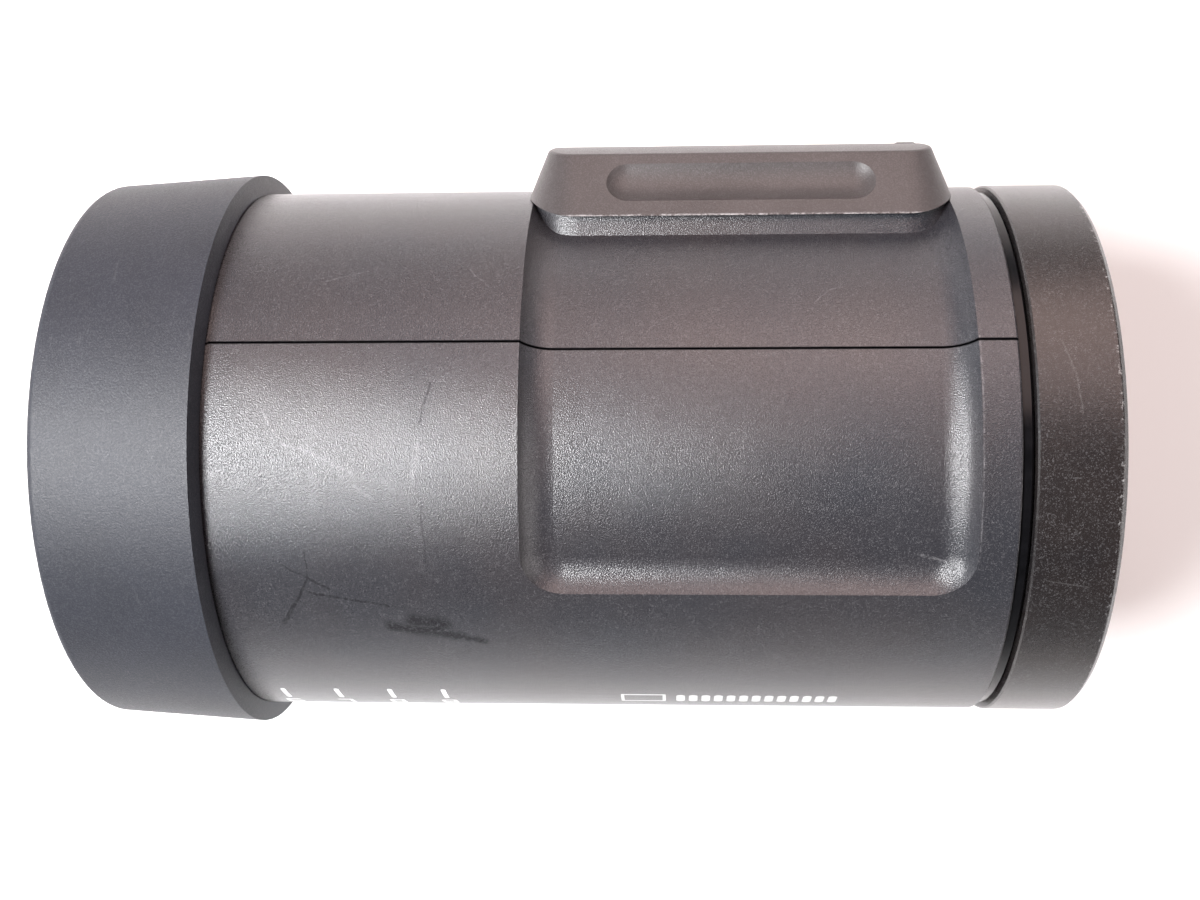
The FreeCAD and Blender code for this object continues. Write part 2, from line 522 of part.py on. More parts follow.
def grip(side):
    """Long finger dimple in a drafted side of the battery."""
    slope, off = math.radians(BATTERY_SIDE_DRAFT), GRIP_R - GRIP_DEPTH
    z = BATTERY_HALF_W - draft(GRIP_Y, BATTERY_SIDE_DRAFT) + off * math.cos(slope)
    centre = V(0, GRIP_Y + off * math.sin(slope), side * z)
    tool = Part.makeCylinder(GRIP_R, 2 * GRIP_HALF, centre - V(GRIP_HALF, 0, 0), X_AXIS)
    for end in (-GRIP_HALF, GRIP_HALF):
        tool = tool.fuse(Part.makeSphere(GRIP_R, centre + V(end, 0, 0)))
    return tool


def battery_inside():
    middle, half = (TUB_X0 + TUB_X1) / 2, (TUB_X1 - TUB_X0) / 2
    tub = rounded_prism(middle, half, TUB_HALF_W, TUB_CORNER, TUB_Y, 60.0)
    flange = battery_prism(BATTERY_END_WALL + 0.1, BATTERY_SIDE_WALL + 0.1, BODY_R + 2.0)
    tub = tub.common(rod(-60, 60, BODY_R + GAP)).fuse(flange.cut(rod(-60, 60, BODY_R + GAP)))
    tub = tub.cut(rounded_prism(middle, half - 1.3, TUB_HALF_W - 1.3, TUB_CORNER - 1.3, TUB_Y + 1.5, 70))
    notch = LATCH_HALF_W + 0.7
    tub = tub.cut(block(TUB_X1 + 0.1, 50, 30, 60, -notch, notch)).common(block(-60, 60, 0, 80, -60, 60))
    sockets = block(-12, 13, TUB_Y + 1.55, 20.6, -2.9, 2.9)
    for x in BLADE_X:
        slot = block(x - 0.4, x + 3.4, 10, 20.0, -0.9, 0.9)
        tub, sockets = tub.cut(slot), sockets.cut(slot)
    PARTS["battery_tub"] = tub
    PARTS["battery_socket"] = sockets
    PARTS["battery_cells"] = group(rod(CELL_X, CELL_X + CELL_L, CELL_R, y, z) for y in CELL_Y for z in CELL_Z)
    straps = [block(CELL_X + CELL_L, CELL_X + CELL_L + 0.25, y - 3, y + 3, -13, 13) for y in CELL_Y]
    PARTS["cell_straps"] = group(straps)
    PARTS["battery_board"] = block(20.0, 21.5, 19, 50, -18, 18)
    PARTS["gauge_board"] = block(GAUGE_X - 4, GAUGE_X + 26, 53.4, 54.1, -2.6, 2.6)
    PARTS["gauge_lights"] = group(rod_y(54.15, BATTERY_TOP_R + 0.1, 1.0, x) for x in GAUGE_LIGHTS)
    button = rod_y(55.2, BATTERY_TOP_R + 0.5, 2.9, GAUGE_X)
    PARTS["gauge_button"] = button.fuse(rod_y(55.0, 55.5, 3.7, GAUGE_X))


def battery_latch():
    """Slider that fills a slot in the case's rear top edge, with a leg and a nose below it."""
    pad = battery_outside(BATTERY_TOP_R + 0.3).cut(battery_hollow())
    pad = pad.common(block(LATCH_X, 50, LATCH_Y + GAP, 70, -LATCH_HALF_W, LATCH_HALF_W))
    for i in range(2):
        pad = pad.cut(block(LATCH_X + 0.6 + i, LATCH_X + 1.0 + i, BATTERY_TOP_R - 0.2, 62, -6.5, 6.5))
    x0, x1, nose = LATCH_LEG_X, LATCH_LEG_X + 1.2, LATCH_NOSE_X
    corners = [V(x, y, -LATCH_LEG_HALF_W) for x, y in (
        (x0, 41.0), (nose - 1.0, 41.0), (nose, 42.0), (nose, 43.0), (x1, 43.0), (x1, 56.2), (x0, 56.2))]
    leg = Part.Face(Part.makePolygon(corners + corners[:1])).extrude(V(0, 0, 2 * LATCH_LEG_HALF_W))
    PARTS["battery_latch"] = pad.fuse(leg).removeSplitter()
    wire_r, coil_r, turns, start = 0.22, 1.1, 6, 23.2
    pitch = (LATCH_LEG_X - start - 2 * wire_r - 0.1) / turns
    coil = Part.makeHelix(pitch, pitch * turns, coil_r)
    wire = Part.Wire(Part.makeCircle(wire_r, V(coil_r, 0, 0), Y_AXIS))
    spring = Part.Wire(coil).makePipeShell([wire], True, True)
    spring.rotate(V(), Y_AXIS, 90)
    PARTS["latch_spring"] = spring.translated(V(start + wire_r + 0.05, 53.6, 0))


def main():
    shells()
    front_cap()
    front_optics()
    reflector()
    flash_tube()
    lamp_holder()
    chassis()
    stand_mount()
    fan()
    electronics()
    rear_housing()
    control_panel()
    battery_bay()
    battery_case()
    battery_inside()
    battery_latch()
    os.makedirs("parts", exist_ok=True)
    lift = V(0, 0, -PAD_Z)
    for name, shape in PARTS.items():
        solids = shape.Solids
        bad = [s for s in solids if not s.isValid() or s.Volume <= 0]
        print(f"{name:24s} solids {len(solids)} volume {sum(s.Volume for s in solids):9.1f}"
              f"{'  INVALID' if bad or not solids else ''}")
        placed = group(s.translated(lift) for s in solids) if len(solids) > 1 else solids[0].translated(lift)
        placed.exportStep(f"parts/{name}.step")
    print(len(PARTS), "nodes")


if __name__ == "__main__":
    main()
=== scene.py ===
"""Looks of the monolight strobe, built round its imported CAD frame. Metres, in the part's own frame.

The lamp's axis runs along X at height AXIS_Z, the lamp end is at -X and the battery side at +Y.
Angles round that axis run from +Z towards +Y.
"""

import json
import math

import bmesh
import bpy
from mathutils import Matrix, Vector


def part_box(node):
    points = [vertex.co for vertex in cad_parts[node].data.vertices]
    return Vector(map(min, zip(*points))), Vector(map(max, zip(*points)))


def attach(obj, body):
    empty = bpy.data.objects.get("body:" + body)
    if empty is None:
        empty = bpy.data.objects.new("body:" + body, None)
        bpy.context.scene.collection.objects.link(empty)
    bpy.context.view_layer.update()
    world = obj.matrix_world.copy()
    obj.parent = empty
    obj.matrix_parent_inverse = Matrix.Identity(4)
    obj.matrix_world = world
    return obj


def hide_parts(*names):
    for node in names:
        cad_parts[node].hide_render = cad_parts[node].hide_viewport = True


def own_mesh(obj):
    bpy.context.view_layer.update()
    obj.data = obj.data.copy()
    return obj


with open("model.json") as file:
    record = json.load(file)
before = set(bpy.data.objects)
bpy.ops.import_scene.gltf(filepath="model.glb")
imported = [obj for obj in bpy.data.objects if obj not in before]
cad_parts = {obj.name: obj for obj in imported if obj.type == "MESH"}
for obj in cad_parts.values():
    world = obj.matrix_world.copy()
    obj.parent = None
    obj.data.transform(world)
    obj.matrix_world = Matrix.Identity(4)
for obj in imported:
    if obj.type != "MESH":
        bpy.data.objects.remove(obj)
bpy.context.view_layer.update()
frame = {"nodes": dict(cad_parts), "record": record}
NODES = frame["nodes"]
MM = 0.001

# ---- places, read from the frame ----------------------------------------------------------
RING_LOW, RING_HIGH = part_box("rear_ring")
CAP_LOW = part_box("front_cap")[0]
CASE_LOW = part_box("battery_case")[0]
WINDOW_LOW, WINDOW_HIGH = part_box("display_window")
KNOB_LOW, KNOB_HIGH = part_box("dial_knob")
DIAL_CENTRE_Z = (KNOB_LOW.z + KNOB_HIGH.z) / 2
AXIS_Z = (RING_LOW.z + RING_HIGH.z) / 2
BODY_R = 50 * MM
SEAM_ANGLE = math.radians(21.1)     # the seams lie this far past the top and the bottom, on the battery side
FLOOR_Z = CAP_LOW.z - 0.2 * MM

# ---- tones of wear, print, painted seam shade and a painted seam highlight ----------------
FLAKE_TONE = (0.26, 0.26, 0.27)
SCRATCH_TONE = (0.36, 0.36, 0.37)
# Pale tone for worn edges, and for the painted highlight along the seam nearer the top.
EDGE_WEAR_AND_HIGHLIGHT_TONE = (0.50, 0.50, 0.52)
CHIP_TONE = (0.50, 0.50, 0.50)
RUBBED_TONE = (0.50, 0.50, 0.51)
# Tone of the dark scuffs and scratches, and of the painted shade along the seams.
SCUFF_AND_SEAM_SHADE_TONE = (0.006, 0.006, 0.008)
INK_TONE = (0.80, 0.80, 0.80)


# ---- a small language for node materials --------------------------------------------------
class Paint:
    """One procedural material. Every method adds a node and returns the socket that it makes."""

    def __init__(self, name):
        self.material = bpy.data.materials.new(name)
        self.material.use_nodes = True
        self.tree = self.material.node_tree
        self.bsdf = self.tree.nodes["Principled BSDF"]
        self.place = self.tree.nodes.new("ShaderNodeTexCoord").outputs["Object"]

    def put(self, socket, value):
        """Links a socket's value, or sets a constant one."""
        if isinstance(value, bpy.types.NodeSocket):
            self.tree.links.new(value, socket)
        elif value is not None:
            socket.default_value = value

    def node(self, kind, inputs=(), **settings):
        made = self.tree.nodes.new(kind)
        for key, value in settings.items():
            setattr(made, key, value)
        for key, value in dict(inputs).items():
            self.put(made.inputs[key], value)
        return made

    def math(self, operation, a, b=0.0, c=0.0):
        made = self.node("ShaderNodeMath", {0: a, 1: b}, operation=operation)
        if len(made.inputs) > 2:
            self.put(made.inputs[2], c)
        return made.outputs[0]

    def times(self, a, b):
        return self.math("MULTIPLY", a, b)

    def vector(self, operation, a, b=None, scale=None):
        made = self.node("ShaderNodeVectorMath", {0: a}, operation=operation)
        if b is not None:
            self.put(made.inputs[1], b)
        if scale is not None:
            self.put(made.inputs["Scale"], scale)
        return made.outputs["Value" if operation in ("LENGTH", "DISTANCE", "DOT_PRODUCT") else "Vector"]

    def split(self, vector=None):
        return self.node("ShaderNodeSeparateXYZ", {0: vector or self.place}).outputs

    def join(self, x=0.0, y=0.0, z=0.0):
        return self.node("ShaderNodeCombineXYZ", {0: x, 1: y, 2: z}).outputs[0]

    def noise(self, grain, detail=2.0, rough=0.5, where=None):
        """Noise whose features are about grain metres across."""
        made = self.node("ShaderNodeTexNoise", {
            "Vector": where or self.place, "Scale": 1 / grain, "Detail": detail, "Roughness": rough})
        return made.outputs["Fac"]

    def cells(self, grain, feature="F1", output="Distance"):
        """Cells about grain metres across."""
        made = self.node("ShaderNodeTexVoronoi", {"Vector": self.place, "Scale": 1 / grain}, feature=feature)
        return made.outputs[output]

    def ramp(self, value, low, high, to_low=0.0, to_high=1.0, smooth=False):
        made = self.node("ShaderNodeMapRange", {
            "Value": value, "From Min": low, "From Max": high, "To Min": to_low, "To Max": to_high})
        made.interpolation_type = "SMOOTHSTEP" if smooth else "LINEAR"
        return made.outputs["Result"]

    def mix(self, share, a, b, blend="MIX"):
        made = self.node("ShaderNodeMix", data_type="RGBA", blend_type=blend)
        for socket, value in ((made.inputs["Factor"], share), (made.inputs[6], a), (made.inputs[7], b)):
            self.put(socket, (*value, 1.0) if isinstance(value, tuple) and len(value) == 3 else value)
        return made.outputs[2]

    def bump(self, height, distance, strength):
        made = self.node("ShaderNodeBump", {"Height": height, "Distance": distance, "Strength": strength})
        return made.outputs["Normal"]

    def unrolled(self):
        """Place on the round body as if it were laid flat: metres along X, then along the arc."""
        x, y, z = self.split()
        arc = self.times(self.math("ARCTAN2", y, self.math("SUBTRACT", z, AXIS_Z)), BODY_R)
        return self.join(x, arc, 0.0)

    def stroke(self, where, start, end, width, fade=0.5):
        """1 along a straight stroke from start to end, in metres on the flat, 0 away from it."""
        a, d = Vector((*start, 0)), Vector((*end, 0)) - Vector((*start, 0))
        off = self.vector("SUBTRACT", where, tuple(a))
        along = self.math("DIVIDE", self.vector("DOT_PRODUCT", off, tuple(d)), d.length_squared)
        along = self.node("ShaderNodeClamp", {"Value": along}).outputs[0]
        foot = self.vector("SCALE", tuple(d), scale=along)
        distance = self.vector("DISTANCE", off, foot)
        return self.ramp(distance, width * fade, width, 1.0, 0.0, smooth=True)

    def most(self, *values):
        best = values[0]
        for value in values[1:]:
            best = self.math("MAXIMUM", best, value)
        return best

    def finish(self, color, roughness, normal=None, **others):
        """Puts the sockets on the shader and returns the material."""
        for name, value in {"Base Color": color, "Roughness": roughness, "Normal": normal, **others}.items():
            self.put(self.bsdf.inputs[name], value)
        return self.material


# ---- materials ----------------------------------------------------------------------------
def metallic_paint(name, tone, warm, grain=0.20, rough=(0.235, 0.345), depth=0.058, marks=None, gloss=0.72):
    """Dark textured paint: fine pebble grain that glints, metallic flecks, faint clouding.

    grain and depth are in millimetres. marks draws print, wear, painted shade in the seams and a painted
    highlight along a seam:
    it returns color, shine, and a mask of what is dull. The mask goes to Metallic, since a nearly black metal
    hardly reflects.
    """
    p = Paint(name)
    soft_grain = p.times(p.noise(grain * MM, 1.0), 0.25)
    pebble = p.math("MULTIPLY_ADD", p.cells(grain * MM), 0.9, soft_grain)
    fleck = p.split(p.cells(grain * 0.8 * MM, output="Color"))[0]
    cloud = p.noise(26 * MM, 2.0)
    color = p.mix(p.ramp(cloud, 0.35, 0.65), tone, warm)
    color = p.mix(p.times(p.ramp(fleck, 0.78, 1.0), 0.20), color, FLAKE_TONE)
    shine = p.ramp(pebble, 0.3, 0.7, *rough)
    shine = p.math("ADD", shine, p.ramp(p.noise(14 * MM, 3.0), 0.3, 0.7, -0.02, 0.02))
    dull = None
    if marks is not None:
        color, shine, dull = marks(p, color, shine)
    p.bsdf.inputs["Specular IOR Level"].default_value = gloss
    return p.finish(color, shine, p.bump(pebble, depth * MM, 0.9), Metallic=dull)


def marked_strokes(p, where, strokes, fade=0.5):
    """1 on any of the strokes, each of them its start, its end and its half width in millimetres."""
    return p.most(*[p.stroke(where, [v * MM for v in start], [v * MM for v in end], width * MM, fade)
                    for start, end, width in strokes])


def body_marks(p, color, shine):
    """White print, painted shade in the seams, a painted highlight along the seam nearer the top, and marks
    of use: pale and dark scratches, a dark scuff, worn edges.
    """
    flat = p.unrolled()
    sway = p.join(p.noise(7 * MM, 3.0), p.noise(5 * MM, 3.0), 0.0)
    bend = p.vector("SCALE", p.vector("SUBTRACT", sway, (0.5, 0.5, 0.0)), scale=2.2 * MM)
    bent = p.vector("ADD", flat, bend)
    patchy = p.noise(0.7 * MM, 3.0, 0.7)
    pale = p.times(marked_strokes(p, bent, PALE_SCRATCHES, 0.0), p.ramp(patchy, 0.34, 0.66, 0.0, 0.25))
    haze = p.times(marked_strokes(p, bent, HAZES, 0.0), p.ramp(patchy, 0.40, 0.70, 0.0, 0.09))
    thin = p.times(marked_strokes(p, bent, THIN_SCRATCHES), p.ramp(patchy, 0.34, 0.52))
    rubbed = p.times(marked_strokes(p, bent, DARK_SCUFFS, 0.1), p.ramp(patchy, 0.34, 0.48))
    chipped = p.ramp(p.noise(1.2 * MM, 3.0, 0.8), 0.40, 0.60)
    # Worn edges, and a painted highlight along the seam nearer the top, both broken up by noise.
    edges = p.times(marked_strokes(p, flat, EDGE_WEAR_AND_HIGHLIGHTS, 0.3), chipped)
    color = p.mix(p.most(pale, haze), color, SCRATCH_TONE)
    color = p.mix(p.times(edges, 0.16), color, EDGE_WEAR_AND_HIGHLIGHT_TONE)
    # The dark, dull mask: thin scratches, the scuffs, and painted shade along both seams.
    dark = p.most(p.times(thin, 0.44), p.times(rubbed, 0.54), seam_painted_shade(p, flat))
    color = p.mix(dark, color, SCUFF_AND_SEAM_SHADE_TONE)
    shine = p.math("ADD", shine, p.times(dark, 0.25))
    ink = p.times(p.most(scale_print(p, flat), plain_bars(p, flat)), p.ramp(patchy, 0.22, 0.30, 0.75, 1.0))
    color = p.mix(ink, color, INK_TONE)
    shine = p.math("ADD", shine, p.times(ink, 0.1))
    return color, shine, dark


def seam_painted_shade(p, flat):
    """Painted shade along both seams, which lie as far above the battery side's middle line as below it."""
    middle = math.pi / 2 * BODY_R
    from_middle = p.math("ABSOLUTE", p.math("SUBTRACT", p.split(flat)[1], middle))
    from_seam = p.math("ABSOLUTE", p.math("SUBTRACT", from_middle, middle - SEAM_ANGLE * BODY_R))
    return p.ramp(from_seam, 0.17 * MM, 0.36 * MM, 0.95, 0.0)


def ring_marks(p, color, shine):
    """Paint chipped along the rear rim of the ring, and faint scratches."""
    flat = p.unrolled()
    chips = p.ramp(p.noise(0.9 * MM, 3.0, 0.8), 0.56, 0.62)
    rim = marked_strokes(p, flat, CHIPPED_RIM, 0.4)
    line = p.times(marked_strokes(p, flat, RING_SCRATCHES, 0.2), 0.05)
    worn = p.most(p.times(p.times(rim, chips), 0.32), line)
    return p.mix(worn, color, CHIP_TONE), shine, None


def between(p, value, low, high):
    """1 where value lies between low and high."""
    return p.times(p.math("GREATER_THAN", value, low), p.math("LESS_THAN", value, high))


def repeated(p, flat, first, pitch):
    """Which of a row's equal cells a place is in, counted from 0, and the place within that cell.

    The first cell's middle lies at first, along X, in millimetres.
    """
    x, arc, _ = p.split(flat)
    order = p.math("ROUND", p.math("DIVIDE", p.math("SUBTRACT", x, first * MM), pitch * MM))
    near = p.math("SUBTRACT", x, p.math("MULTIPLY_ADD", order, pitch * MM, first * MM))
    return order, p.join(near, arc, 0.0)


def scale_print(p, flat):
    """Four ticks with the figures 6 to 9 under them. A figure is up to seven strokes, as on a display."""
    order, cell = repeated(p, flat, SCALE_X, SCALE_PITCH)
    tick = p.stroke(cell, (0, -53.8 * MM), (0, -59.0 * MM), 0.50 * MM, 0.8)
    seven = between(p, order, 0.5, 1.5)
    not_seven = p.math("SUBTRACT", 1.0, seven)
    not_six = p.math("GREATER_THAN", order, 0.5)
    six_or_eight = p.times(not_seven, p.math("LESS_THAN", order, 2.5))
    left, right, top, middle, low = -1.1, 1.1, -61.6, -63.6, -65.6
    bars = [((left, top), (right, top), None), ((right, top), (right, middle), not_six),
            ((right, middle), (right, low), None), ((left, low), (right, low), not_seven),
            ((left, middle), (left, low), six_or_eight), ((left, top), (left, middle), not_seven),
            ((left, middle), (right, middle), not_seven)]
    ink = [tick]
    for start, end, shown in bars:
        bar = p.stroke(cell, [v * MM for v in start], [v * MM for v in end], 0.36 * MM, 0.75)
        ink.append(bar if shown is None else p.times(bar, shown))
    return p.times(p.most(*ink), between(p, order, -0.5, 3.5))


def plain_bars(p, flat):
    """A plain frame and a row of plain bars printed on the lower side."""
    left, right, top, low = BARS_X, BARS_X + 7.6, -55.6, -60.4
    corners = [(left, top), (right, top), (right, low), (left, low), (left, top)]
    frame_print = marked_strokes(p, flat, [(a, b, 0.32) for a, b in runs(corners)], 0.8)
    order, cell = repeated(p, flat, BARS_X + 10.6, BARS_PITCH)
    bar = p.stroke(cell, (0, -56.4 * MM), (0, -59.8 * MM), 0.85 * MM, 0.85)
    bar = p.times(bar, between(p, order, -0.5, BARS_COUNT - 0.5))
    return p.times(p.most(frame_print, bar), 0.8)


# Strokes on the unrolled body in millimetres: (x, arc) start, (x, arc) end, half width.
PALE_SCRATCHES = [
    ((-79.4, 6.6), (-78.7, 4.6), 0.45), ((-78.7, 4.6), (-76.0, 1.2), 0.32),
    ((-76.0, 1.0), (-71.5, -0.5), 0.50), ((-71.5, -0.5), (-68.5, -1.7), 0.42),
    ((-68.5, -1.7), (-64.6, -3.8), 0.50), ((-64.5, -5.8), (-61.7, -7.8), 0.42),
    ((-60.0, -4.6), (-57.7, -6.3), 0.50), ((-54.1, 1.2), (-54.5, -5.2), 0.62),
    ((28.8, -18.7), (33.0, -20.4), 0.45), ((-71.0, 30.5), (-64.0, 33.0), 0.16),
    ((-47.0, 33.0), (-43.0, 29.0), 0.14), ((12.0, 28.0), (15.5, 31.0), 0.14)]
HAZES = [((-71.4, 4.2), (-71.0, -10.0), 1.3), ((-72.6, 0.0), (-66.0, -3.6), 1.8),
         ((-54.2, 2.0), (-54.6, -6.0), 1.2), ((-55.0, -9.0), (-53.6, -20.0), 0.9)]
THIN_SCRATCHES = [
    ((-51.5, 11.3), (-53.3, 4.4), 0.26), ((-53.3, -8.4), (-53.0, -18.9), 0.24),
    ((-73.1, -21.9), (-75.6, -27.0), 0.32), ((-75.6, -27.0), (-78.6, -31.2), 0.55),
    ((-77.6, -19.4), (-73.1, -21.9), 0.24), ((-73.1, -21.9), (-69.9, -24.4), 0.36),
    ((-73.5, -25.1), (-60.2, -27.7), 0.32), ((-73.3, -17.0), (-73.1, -21.9), 0.18)]
DARK_SCUFFS = [((-56.0, -30.6), (-51.0, -32.0), 2.4), ((-60.1, -32.0), (-48.0, -34.6), 1.9),
               ((-52.0, -33.0), (-44.1, -36.2), 1.1)]
# The first and the last are worn edges. The middle one, along the seam nearer the top, is a painted
# highlight.
EDGE_WEAR_AND_HIGHLIGHTS = [((37.6, 19.0), (37.6, -19.0), 0.20), ((-90.0, 18.25), (43.0, 18.25), 0.10),
              ((43.7, 40.0), (43.7, -60.0), 0.14)]
# The ring's rear rim is chipped over its upper half.
CHIPPED_RIM = [((59.4, -75.0), (59.4, 75.0), 0.45)]
RING_SCRATCHES = [((50.6, 18.0), (52.4, 12.4), 0.22), ((52.4, 12.4), (53.2, 6.0), 0.20),
                  ((49.0, -22.0), (55.6, -23.2), 0.16)]
# Places and spacings of the two prints along X, in millimetres.
SCALE_X, SCALE_PITCH = -83.6, 9.87
BARS_X, BARS_PITCH, BARS_COUNT = -21.3, 2.3, 13


def case_wear(p):
    """Broken bright line where the paint has rubbed off the battery case's lower edge."""
    along = p.ramp(p.noise(1.5 * MM, 3.0, 0.8), 0.42, 0.60)
    near = p.ramp(p.split()[1], CASE_LOW.y + 0.12 * MM, CASE_LOW.y + 0.42 * MM, 0.5, 0.0)
    return p.times(along, near)


def cap_wear(p):
    """Faint scuffs all over the cap, a little denser towards its front rim."""
    flat = p.unrolled()
    long_way = p.vector("MULTIPLY", flat, (1.0, 0.12, 1.0))
    scuffs = p.ramp(p.noise(1.6 * MM, 4.0, 0.7, where=long_way), 0.62, 0.72)
    front = p.ramp(p.split(flat)[0], CAP_LOW.x + 2 * MM, CAP_LOW.x + 12 * MM, 0.10, 0.03)
    return p.times(scuffs, front)


def scaled(tone, by, more=0.0):
    """A lighter or darker tone of the same hue."""
    return tuple(by * part + more for part in tone)


def moulded(name, tone, grain, rough=(0.5, 0.62), depth=0.03, strength=0.5, wear=None, flake=0.0, gloss=0.5):
    """Moulded plastic or rubber with a fine even grain. flake is how strongly pale flecks show in it."""
    p = Paint(name)
    skin = p.noise(grain * MM, 3.0, 0.55)
    cloud = p.noise(15 * MM, 2.0)
    color = p.mix(p.ramp(cloud, 0.3, 0.7), scaled(tone, 0.88), scaled(tone, 1.12))
    color = p.mix(p.times(p.ramp(skin, 0.5, 0.75), 0.3), color, scaled(tone, 1.8, 0.004))
    if flake > 0:
        fleck = p.ramp(p.split(p.cells(0.17 * MM, output="Color"))[0], 0.5, 1.0, 0.0, flake)
        color = p.mix(fleck, color, FLAKE_TONE)
    if wear is not None:
        color = p.mix(wear(p), color, RUBBED_TONE)
    p.bsdf.inputs["Specular IOR Level"].default_value = gloss
    return p.finish(color, p.ramp(skin, 0.3, 0.7, *rough), p.bump(skin, depth * MM, strength))


def gloss_black(name):
    """Smooth black plastic with an uneven shine, which reflects only weakly."""
    p = Paint(name)
    wave = p.noise(3 * MM, 3.0, 0.55)
    p.bsdf.inputs["Specular IOR Level"].default_value = 0.22
    color = p.mix(p.ramp(wave, 0.3, 0.7), (0.0025, 0.0025, 0.003), (0.005, 0.005, 0.006))
    return p.finish(color, p.ramp(wave, 0.3, 0.7, 0.16, 0.26), p.bump(wave, 0.02 * MM, 0.3))


def metal(name, tone, rough=(0.25, 0.4), grain=0.4, stretch=(1, 1, 1)):
    """Bare or plated metal with fine tool marks drawn out along one direction."""
    p = Paint(name)
    where = p.vector("MULTIPLY", p.place, stretch)
    marks = p.noise(grain * MM, 3.0, 0.6, where)
    color = p.mix(p.ramp(marks, 0.3, 0.7), scaled(tone, 0.85), tone)
    return p.finish(color, p.ramp(marks, 0.3, 0.7, *rough), p.bump(marks, 0.008 * MM, 0.4), Metallic=1.0)


def glassy(name, tone, rough, transmission=1.0, ior=1.46):
    """Clear or frosted glass with slightly uneven polish."""
    p = Paint(name)
    uneven = p.noise(3 * MM, 2.0)
    color = p.mix(p.ramp(uneven, 0.3, 0.7), scaled(tone, 0.97), tone)
    p.bsdf.inputs["Transmission Weight"].default_value = transmission
    p.bsdf.inputs["IOR"].default_value = ior
    return p.finish(color, p.ramp(uneven, 0.3, 0.7, rough, rough * 1.3 + 0.01))


def rear_face(p, y, z):
    """Place on a face that looks along +X, about the point y, z given in millimetres from the lamp's axis."""
    _, across, up = p.split()
    return p.join(p.math("SUBTRACT", across, y * MM), p.math("SUBTRACT", up, AXIS_Z + z * MM), 0.0)


def hoop(p, where, radius, width):
    """1 on a thin circle of that radius in millimetres."""
    off = p.math("ABSOLUTE", p.math("SUBTRACT", p.vector("LENGTH", where), radius * MM))
    return p.ramp(off, width * 0.8 * MM, width * MM, 1.0, 0.0)


def spokes(p, where, count, inner, outer, width, first=-180.0, last=180.0):
    """Radial strokes at equal angles about the place's origin, between two angles in degrees from the top."""
    y, z, _ = p.split(where)
    step = 2 * math.pi / count
    angle = p.math("ARCTAN2", y, z)
    order = p.math("ROUND", p.math("DIVIDE", angle, step))
    near = p.math("SUBTRACT", angle, p.times(order, step))
    reach = p.vector("LENGTH", where)
    cell = p.join(p.times(near, reach), reach, 0.0)
    stroke = p.stroke(cell, (0, inner * MM), (0, outer * MM), width * MM, 0.8)
    return p.times(stroke, between(p, angle, math.radians(first), math.radians(last)))


def runs(corners):
    """The straight strokes from each corner to the next."""
    return list(zip(corners, corners[1:]))


def icon_strokes(p, where, strokes, width):
    """1 on any of the strokes, each of them its start and its end in millimetres."""
    return marked_strokes(p, where, [(a, b, width) for a, b in strokes], 0.75)


def sun_icon(p, where):
    return p.most(hoop(p, where, 1.0, 0.22), spokes(p, where, 8, 1.7, 2.4, 0.17))


def menu_icon(p, where):
    return icon_strokes(p, where, [((-1.5, z), (1.5, z)) for z in (-1.1, 0.0, 1.1)], 0.2)


def bolt_icon(p, where):
    turns = [(0.7, 2.4), (-1.0, 0.1), (1.0, -0.1), (-0.7, -2.4)]
    return icon_strokes(p, where, runs(turns), 0.26)


def key_top(name, node, icon):
    """Rubber key with a printed pictogram."""
    low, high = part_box(node)
    p = Paint(name)
    skin = p.noise(0.3 * MM, 3.0)
    where = rear_face(p, (low.y + high.y) / 2 / MM, ((low.z + high.z) / 2 - AXIS_Z) / MM)
    facing = p.math("GREATER_THAN", p.split()[0], high.x - 0.1 * MM)
    color = p.mix(p.ramp(skin, 0.3, 0.7), (0.040, 0.040, 0.043), (0.052, 0.052, 0.055))
    color = p.mix(p.times(icon(p, where), facing), color, (0.75, 0.75, 0.76))
    return p.finish(color, p.ramp(skin, 0.3, 0.7, 0.5, 0.62), p.bump(skin, 0.02 * MM, 0.4))


DIAL_SCALE_END = 142.5      # degrees from the top, on either side


def panel_face(name):
    """Satin control panel with a scale of ticks round the dial."""
    p = Paint(name)
    skin = p.noise(0.3 * MM, 3.0)
    where = rear_face(p, 0.0, (DIAL_CENTRE_Z - AXIS_Z) / MM)
    short = spokes(p, where, 24, 16.6, 17.8, 0.14, -DIAL_SCALE_END, DIAL_SCALE_END)
    long = spokes(p, where, 8, 16.6, 18.6, 0.2, -DIAL_SCALE_END, DIAL_SCALE_END)
    color = p.mix(p.ramp(skin, 0.3, 0.7), (0.022, 0.022, 0.024), (0.030, 0.030, 0.032))
    color = p.mix(p.most(short, long), color, (0.55, 0.55, 0.56))
    return p.finish(color, p.ramp(skin, 0.3, 0.7, 0.34, 0.46), p.bump(skin, 0.02 * MM, 0.5))


